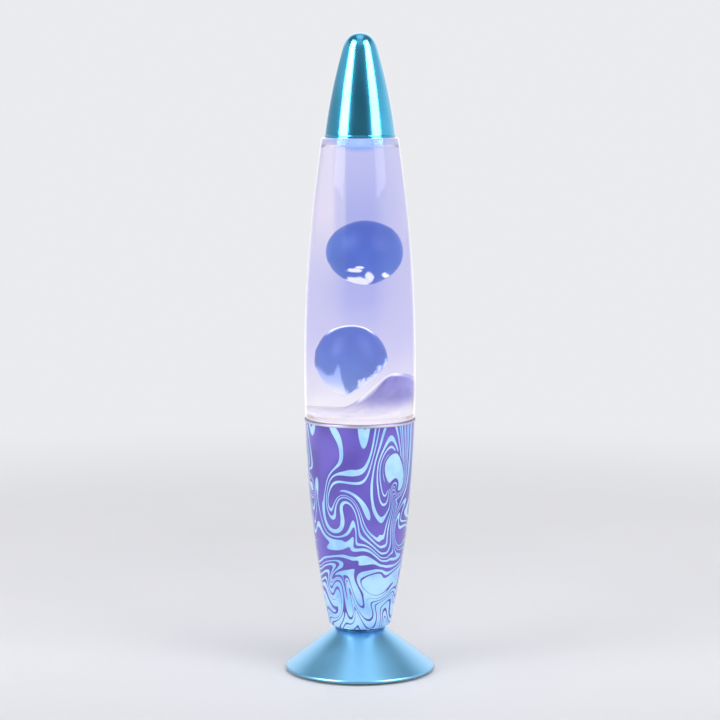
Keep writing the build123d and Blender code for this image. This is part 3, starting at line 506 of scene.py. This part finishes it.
def clear_glass():
    """Clear glass with a little painted glow at its edges, shoulder and ledge, standing in for the bulb's
    light carried in the glass.
    """
    m = Maker("clear_glass", Transmission_Weight=1.0, IOR=1.5, Roughness=0.0,
              Specular_Tint=(0.16, 0.16, 0.18, 1))
    height = m.split()[2]
    faint = m.noise(25.0, 2.0)
    m.into("Base Color", m.mix(m.between(faint, 0.3, 0.7), (0.965, 0.975, 1.0), (0.985, 0.99, 1.0)))
    m.bump(m.noise(14.0, 1.0), 0.0002, 0.15)
    # Painted glow at the shoulder and the ledge, and at the edges seen side-on
    shoulder = m.between(height, SHOULDER_Z - 0.0050, SHOULDER_Z - 0.0030)
    ledge = m.between(height, LEDGE_Z + 0.0024, LEDGE_Z + 0.0012)
    rim = m.add("ShaderNodeLayerWeight", {"Blend": 0.5}).outputs["Facing"]
    edge = m.between(rim, 0.66, 0.92, 0.0, 0.42)
    ends = m.plus(m.times(shoulder, 0.14), m.times(ledge, 0.05))
    m.into("Emission Color", m.mix(faint, (0.92, 0.88, 1.0), (1.0, 0.96, 1.0)))
    m.into("Emission Strength", m.most(ends, edge))
    m.let_lamps_through((0.95, 0.96, 1.0))
    return m.material


def glowing_liquid():
    """Clear lilac-tinted liquid with the bulb's light painted in: whitest at the bottom, lilac higher up,
    with painted reflections.
    """
    m = Maker("glowing_liquid", Transmission_Weight=1.0, IOR=1.33, Roughness=0.0,
              Specular_Tint=(0.1, 0.1, 0.1, 1), Emission_Strength=1.0)
    x, _, z = m.split()
    share = m.over(m.minus(z, LEDGE_Z), SHOULDER_Z - LEDGE_Z)
    wisps = m.noise(60.0, 3.0, at=m.stretch(1.0, 1.0, 0.25))
    rise = m.plus(share, m.swing(wisps, 0.10))
    # Tint painted paler low down, where the bulb's light is painted in
    tint = m.ramp(rise, [(0.0, (0.80, 0.77, 0.87)), (0.3, (0.61, 0.60, 0.81)), (1.0, (0.66, 0.66, 0.84))])

    # Painted reflections: a darker, bluer column up the middle, a pale band at the left and a blue patch
    # under the shoulder
    reflected_dark_middle = m.between(m.size(m.minus(x, 0.0005)), 0.0135, 0.0045)
    reflected_dark_middle = m.times(reflected_dark_middle, m.between(share, 0.26, 0.44))
    column = m.mix(m.between(share, 0.70, 0.95), (0.44, 0.47, 0.80), (0.54, 0.56, 0.84))
    tint = m.mix(reflected_dark_middle, tint, column)
    band = m.times(m.between(x, -0.0062, -0.0080), m.between(share, 0.42, 0.76))
    tint = m.mix(band, tint, (0.86, 0.81, 0.89))
    dip = m.minus(share, m.times(m.times(x, x), 130.0))
    blue_reflection = m.between(m.plus(dip, m.times(wisps, 0.02)), 0.955, 0.978)
    m.into("Base Color", m.mix(blue_reflection, tint, (0.13, 0.38, 0.92)))
    # The emission is a painted glow, strongest near the bottom
    glow = [(0.0, (0.12, 0.11, 0.10)), (0.05, (0.165, 0.15, 0.125)), (0.10, (0.125, 0.115, 0.11)),
            (0.22, (0.085, 0.072, 0.115)), (0.6, (0.05, 0.043, 0.085)), (1.0, (0.06, 0.055, 0.09))]
    m.into("Emission Color", m.ramp(rise, glow))
    m.let_lamps_through((0.85, 0.85, 0.97))
    return m.material


def reflector_bulb():
    """Silvered sides below and a pearl face above, lit."""
    m = Maker("reflector_bulb")
    face = m.between(m.split()[2], BULB_HIGH.z - 0.0165, BULB_HIGH.z - 0.0145)
    mottle = m.noise(120.0, 3.0)
    silver = m.mix(mottle, (0.55, 0.56, 0.58), (0.75, 0.76, 0.78))
    m.into("Base Color", m.mix(face, silver, (0.9, 0.88, 0.84)))
    m.into("Metallic", m.between(face, 0.0, 1.0, 1.0, 0.0))
    m.into("Roughness", m.between(m.plus(face, m.times(mottle, 0.2)), 0.0, 1.2, 0.12, 0.5))
    m.into("Emission Color", m.mix(mottle, (1.0, 0.84, 0.62), (1.0, 0.9, 0.74)))
    m.into("Emission Strength", m.times(face, 0.85))
    return m.material


def threaded_metal():
    """Rolled bulb base with its thread as fine rounded ridges."""
    pitch = 0.0028
    m = Maker("rolled_base", Metallic=1.0)
    x, y, z = m.split()
    turn = m.times(m.math("ARCTAN2", y, x), 1 / math.tau)
    ridge = m.math("SINE", m.times(m.plus(m.over(z, pitch), turn), math.tau))
    tone = m.noise(160.0, 3.0)
    m.into("Base Color", m.mix(tone, (0.55, 0.54, 0.50), (0.76, 0.75, 0.72)))
    m.into("Roughness", m.between(tone, 0.3, 0.7, 0.2, 0.35))
    m.bump(ridge, 0.0006, 0.8)
    return m.material


def glazed_ceramic():
    """Cream glaze with a few dark specks."""
    m = Maker("glazed_ceramic", Coat_Weight=0.7, Coat_Roughness=0.06)
    speck = m.noise(480.0, 2.0)
    cloud = m.noise(40.0, 3.0)
    cream = m.mix(m.between(cloud, 0.3, 0.7), (0.66, 0.63, 0.55), (0.78, 0.76, 0.70))
    m.into("Base Color", m.mix(m.between(speck, 0.70, 0.76), cream, (0.35, 0.3, 0.24)))
    m.into("Roughness", m.between(cloud, 0.3, 0.7, 0.22, 0.34))
    m.bump(m.noise(90.0, 2.0), 0.0001, 0.4)
    return m.material


def hot_wire():
    """Glowing filament."""
    m = Maker("hot_filament", Metallic=1.0, Roughness=0.4)
    coil = m.noise(900.0, 2.0)
    m.into("Base Color", m.mix(coil, (0.2, 0.19, 0.18), (0.4, 0.38, 0.36)))
    m.into("Emission Color", m.mix(coil, (1.0, 0.55, 0.2), (1.0, 0.8, 0.5)))
    m.into("Emission Strength", m.between(coil, 0.2, 0.8, 1.0, 1.6))
    return m.material


def dress_cad_nodes():
    """Every CAD node that stays visible gets its own finish or else its slot's."""
    finishes = {
        "foot_metal": spun_metal("satin_blue_metal", (0.165, 0.45, 0.70), (0.18, 0.48, 0.74), 0.31,
                                 2600.0, 0.0000006, Coat_Weight=0.5, Coat_Roughness=0.14),
        "cover_plastic": moulded("black_cover", (0.016, 0.016, 0.018), (0.03, 0.03, 0.033), 0.6),
        "pad_rubber": moulded("black_rubber", (0.012, 0.012, 0.013), (0.026, 0.026, 0.027), 0.8, 500.0),
        "grommet_rubber": moulded("grommet_rubber", (0.014, 0.014, 0.016), (0.03, 0.03, 0.034), 0.7, 600.0),
        "steel": worn_metal("zinc_steel", (0.42, 0.43, 0.45), (0.62, 0.63, 0.66), 0.32),
        "chrome": worn_metal("bright_chrome", (0.80, 0.82, 0.86), (0.92, 0.93, 0.96), 0.13, grain=1500.0),
        "rim_ring": ring_with_painted_shadow(),
        "housing_print": marbled_print(),
        "seat_plastic": moulded("grey_seat", (0.05, 0.05, 0.056), (0.085, 0.085, 0.092), 0.5),
        "holder_ceramic": glazed_ceramic(),
        "brass": worn_metal("bright_brass", (0.55, 0.36, 0.11), (0.78, 0.56, 0.22), 0.24),
        "switch_plastic": moulded("switch_black", (0.018, 0.018, 0.022), (0.034, 0.034, 0.04), 0.45),
        "lead_plastic": moulded("lead_sleeve", (0.02, 0.02, 0.021), (0.036, 0.036, 0.038), 0.4, 400.0),
        "clear_glass": clear_glass(),
        "crown_metal": worn_metal("lacquered_crown", (0.55, 0.50, 0.40), (0.74, 0.71, 0.62), 0.38, 0.85),
        "liner_plastic": moulded("soft_liner", (0.62, 0.62, 0.63), (0.74, 0.74, 0.75), 0.6),
        "cap_metal": spun_metal("teal_cap_metal", (0.030, 0.36, 0.58), (0.050, 0.42, 0.67), 0.15,
                                3200.0, 0.0000014, Coat_Weight=0.8, Coat_Roughness=0.08),
        "bulb_glass": reflector_bulb(),
        "bulb_metal": threaded_metal(),
        "bulb_insulator": moulded("fused_black", (0.01, 0.01, 0.012), (0.022, 0.022, 0.025), 0.25),
        "tungsten": hot_wire(),
    }
    for part in frame["record"]["subparts"]:
        finish = finishes.get(part["node"], finishes.get(part["material_slot"]))
        if finish is not None:
            mesh = frame["nodes"][part["node"]].data
            mesh.materials.clear()
            mesh.materials.append(finish)


# The bed of wax: its top over the ledge and its radius there, and its mound's place, height, widths
# to the left and right and depth from front to back
BED_TOP, BED_RADIUS = 0.0038, 0.02605
MOUND_X, MOUND_Y, MOUND_RISE = 0.0137, 0.001, 0.0196
MOUND_LEFT, MOUND_RIGHT, MOUND_DEPTH = 0.0132, 0.024, 0.0125
BED_RINGS, BED_STEPS = 40, 160
# How far the filling reaches into the glass
LAP = 0.00012
ARC_STEPS, FILLING_STEPS = 60, 192


def blob_mesh(low, high, tail_share, lean, swell):
    """A rounded drop inside its CAD solid's box: an icosphere shaped by a tail, a lean and slow noise."""
    middle, half = (low + high) / 2, (high - low) / 2

    def build(shape):
        bmesh.ops.create_icosphere(shape, subdivisions=6, radius=1.0)
        for vert in shape.verts:
            unit = vert.co.copy()
            slim = 1.0 - tail_share * max(0.0, -unit.z) ** 1.6
            spread = 1.0 - swell * (1.0 + noise.noise(unit * 1.5 + middle * 40))
            point = Vector((unit.x * slim, unit.y * slim, unit.z)) * spread
            point.x += lean * min(0.0, point.z)
            vert.co = middle + Vector((point.x * half.x, point.y * half.y, point.z * half.z))
    return build


def bed_mesh(shape):
    """Pool with a rolling top and a mound at the right."""
    floor = POOL_LOW.z
    # Round the dome, over the flat floor and its rounding, up the nest and past the ledge
    wall = [(DOME_RADIUS, floor), (0.0196, floor), (0.0208, floor + 0.0005), (0.0212, floor + 0.0016),
            (0.02295, LEDGE_Z - GLASS_WALL), (0.0259, LEDGE_Z + 0.0024)]

    def top(x, y):
        wide = MOUND_LEFT if x < MOUND_X else MOUND_RIGHT
        mound = MOUND_RISE * math.exp(-(((x - MOUND_X) / wide) ** 2 + ((y - MOUND_Y) / MOUND_DEPTH) ** 2))
        fold = 0.0003 * noise.noise(Vector((x * 190, y * 120, 3.0)))
        return LEDGE_Z + BED_TOP + mound + fold

    rims = [[shape.verts.new((x, y, height)) for x, y in circle(radius, BED_STEPS)]
            for radius, height in wall]
    radii = [BED_RADIUS * (1 - i / BED_RINGS) for i in range(BED_RINGS)]
    rims += [[shape.verts.new((x, y, top(x, y))) for x, y in circle(radius, BED_STEPS)]
             for radius in radii]
    low, high = shape.verts.new((0, 0, floor + DOME_RISE)), shape.verts.new((0, 0, top(0, 0)))
    skin(shape, low, high, rims)


def liquid_mesh(shape):
    """The globe's filling. It laps a hair into the glass, so that light bends as through one wall."""
    wall = GLASS_WALL - LAP
    middle_z = (ARC_LOW_Z + ARC_HIGH_Z) / 2
    arc = [(radius - wall, height) for radius, height in zip(ARC_RADII, (ARC_LOW_Z, middle_z, ARC_HIGH_Z))]
    start, end = LEDGE_Z + GLASS_WALL, ARC_HIGH_Z - GLASS_WALL
    heights = [start + (end - start) * i / ARC_STEPS for i in range(ARC_STEPS + 1)]
    floor = BOTTLE_LOW.z + GLASS_WALL - LAP
    # Round the dome, over the flat floor and its rounding, up the nest, the long arc and the neck
    profile = [(DOME_RADIUS, floor), (0.0195, floor), (0.0209, floor + 0.0004), (0.0215, floor + 0.0014),
               (0.0231 + LAP, LEDGE_Z - GLASS_WALL)]
    profile += [(arc_radius(arc, height), height) for height in heights]
    profile += [(NECK_BORE, SHOULDER_Z - GLASS_WALL + LAP), (NECK_BORE, FILL_HIGH.z - 0.0003),
                (0.0088, FILL_HIGH.z)]
    low, high = shape.verts.new((0, 0, floor + DOME_RISE)), shape.verts.new((0, 0, FILL_HIGH.z))
    rings = [[shape.verts.new((x, y, height)) for x, y in circle(radius, FILLING_STEPS)]
             for radius, height in profile]
    skin(shape, low, high, rings)


def fill_globe():
    """Wax and liquid in the globe."""
    upper = wax_blob("upper_wax_glow", UPPER_LOW, UPPER_HIGH, UPPER_SHADOW, upper_painted_glints)
    lower = wax_blob("lower_wax_glow", LOWER_LOW, LOWER_HIGH, LOWER_SHADOW, lower_painted_glints)
    upper_drop = blob_mesh(UPPER_LOW, UPPER_HIGH, tail_share=0.06, lean=0.0, swell=0.02)
    lower_drop = blob_mesh(LOWER_LOW, LOWER_HIGH, tail_share=0.52, lean=0.20, swell=0.02)
    piece("wax_upper", upper_drop, upper, "upper_wax", "wax", "upper_wax")
    piece("wax_lower", lower_drop, lower, "lower_wax", "wax", "lower_wax")
    piece("wax_bed", bed_mesh, bed_wax(), "globe", "wax", "wax_pool")
    piece("globe_filling", liquid_mesh, glowing_liquid(), "globe", "lamp_liquid", "liquid")


# Floor, lights and camera
SURROUND = (0.965, 0.97, 1.0)
# The surround's strength where it is seen, the strength that lights the lamp, and the floor's lift
SURROUND_LEVEL, FILL_LEVEL, FLOOR_LIFT = 0.86, 0.62, 0.04
EYE, AIM = Vector((0, -1.3, 0.324)), Vector((0, 0, 0.1625))
# The lamp stands 640 of the picture's 720 pixels tall
PICTURE_SHARE = 640 / 720
# Each softbox: name, azimuth and rise in degrees, distance, width, height, power, mirrored or not
SOFTBOXES = [("key_left", -57, 4, 1.1, 0.62, 1.0, 8, False),
             ("key_right", 57, 4, 1.1, 0.62, 1.0, 7, False),
             ("overhead", 20, 62, 1.19, 0.8, 0.8, 5, False),
             ("stripe_left", -57, 32, 1.2, 0.66, 1.04, 26, True),
             ("stripe_right", 57, 32, 1.2, 0.66, 1.04, 22.6, True)]


def pale_floor():
    """A pale floor that fades into the surround, lifted a little for the camera, mirrors and glass."""
    m = Maker("pale_floor", Roughness=0.65, Specular_IOR_Level=0.2)
    grain = m.noise(3.0, 4.0)
    x, y, _ = m.split()
    pale = m.mix(m.between(grain, 0.3, 0.7), (0.70, 0.70, 0.72), (0.74, 0.74, 0.76))
    # Darker towards the front: painted shade against the softboxes' light there
    m.into("Base Color", m.mix(m.between(y, 0.05, -0.35), pale, (0.46, 0.46, 0.48)))
    seen = m.seen_by("Is Camera Ray", "Is Glossy Ray", "Is Transmission Ray")
    m.into("Emission Color", (*SURROUND, 1))
    m.into("Emission Strength", m.times(seen, FLOOR_LIFT))
    far = m.math("SQRT", m.squares(x, y))
    glow = m.add("ShaderNodeEmission", {"Color": (*SURROUND, 1), "Strength": SURROUND_LEVEL})
    m.swap_for(m.between(far, 0.3, 0.9), glow)
    bpy.ops.mesh.primitive_plane_add(size=30.0, location=(0, 0, 0))
    floor = bpy.context.object
    floor.name = "floor"
    floor.data.materials.append(m.material)


def softbox(name, azimuth, rise, distance, width, tall, power, mirrored):
    """A rectangular light that faces the lamp's upper half.

    It stands at an azimuth in degrees, 0 at the front, and a rise in degrees above that half. A
    mirrored one shows in reflections alone, and the others light without showing there.
    """
    light = bpy.data.lights.new(name, "AREA")
    light.shape, light.size, light.size_y, light.energy = "RECTANGLE", width, tall, power
    box = bpy.data.objects.new(name, light)
    aim = Vector((0, 0, 0.25))
    a, e = math.radians(azimuth), math.radians(rise)
    outward = Vector((math.sin(a) * math.cos(e), -math.cos(a) * math.cos(e), math.sin(e)))
    box.location = aim + distance * outward
    box.rotation_euler = (aim - box.location).to_track_quat("-Z", "Y").to_euler()
    box.visible_transmission = False
    box.visible_glossy = mirrored
    box.visible_diffuse = not mirrored
    bpy.context.scene.collection.objects.link(box)


def studio():
    """Pale surround, with dim and bright sectors that only reflections show, and softboxes."""
    world = bpy.data.worlds.new("studio")
    bpy.context.scene.world = world
    world.use_nodes = True
    w = Nodes(world.node_tree, "Generated")
    x, y, z = w.split()

    # Reflections: darker at the front, high up at both sides and low down at the left
    front = w.between(y, -0.92, -0.62, 0.26, SURROUND_LEVEL)
    low_down = w.between(z, 0.32, 0.16)
    upper_sides = w.times(w.between(w.size(x), 0.16, 0.36), w.between(z, 0.42, 0.62))
    upper_sides = w.times(upper_sides, w.between(y, 0.62, 0.42))
    left = w.times(w.between(x, -0.25, -0.70, 0.0, 0.52), low_down)
    dim = w.times(w.most(upper_sides, left), 0.62)
    mirrored = w.times(w.minus(1.0, dim), front)

    # Brighter straight behind, overhead, over a wide arc behind and low down at the right
    mirrored = w.plus(mirrored, w.between(y, 0.80, 0.97, 0.0, 0.35))
    mirrored = w.plus(mirrored, w.between(z, 0.92, 0.985, 0.0, 0.65))
    mirrored = w.plus(mirrored, w.times(w.between(y, 0.55, 0.75), w.between(z, 0.12, 0.30, 0.0, 0.45)))
    mirrored = w.plus(mirrored, w.times(w.between(x, 0.35, 0.75, 0.0, 0.3), low_down))

    seen = w.seen_by("Is Camera Ray", "Is Transmission Ray")
    plain = w.plus(w.times(seen, SURROUND_LEVEL - FILL_LEVEL), FILL_LEVEL)
    bounced = w.math("GREATER_THAN", w.minus(w.seen_by("Is Glossy Ray"), seen), 0.5)
    strength = w.add("ShaderNodeMix", {0: bounced, 2: plain, 3: mirrored}).outputs[0]
    back = w.tree.nodes["Background"]
    w.feed(back.inputs["Strength"], strength)
    w.feed(back.inputs["Color"], (*SURROUND, 1))
    for row in SOFTBOXES:
        softbox(*row)


def camera():
    """Straight on, with the eye at the height of the cap's top, so that the foot shows from above."""
    data = bpy.data.cameras.new("camera")
    seen_tall = (CAD_HIGH.z - CAD_LOW.z) / PICTURE_SHARE
    data.lens = data.sensor_width * (AIM - EYE).length / seen_tall
    data.clip_start, data.clip_end = 0.01, 60
    cam = bpy.data.objects.new("camera", data)
    cam.location = EYE
    cam.rotation_euler = (AIM - EYE).to_track_quat("-Z", "Y").to_euler()
    bpy.context.scene.collection.objects.link(cam)
    bpy.context.scene.camera = cam


dress_cad_nodes()
fill_globe()
pale_floor()
studio()
camera()
bpy.context.scene.view_settings.view_transform = "Standard"
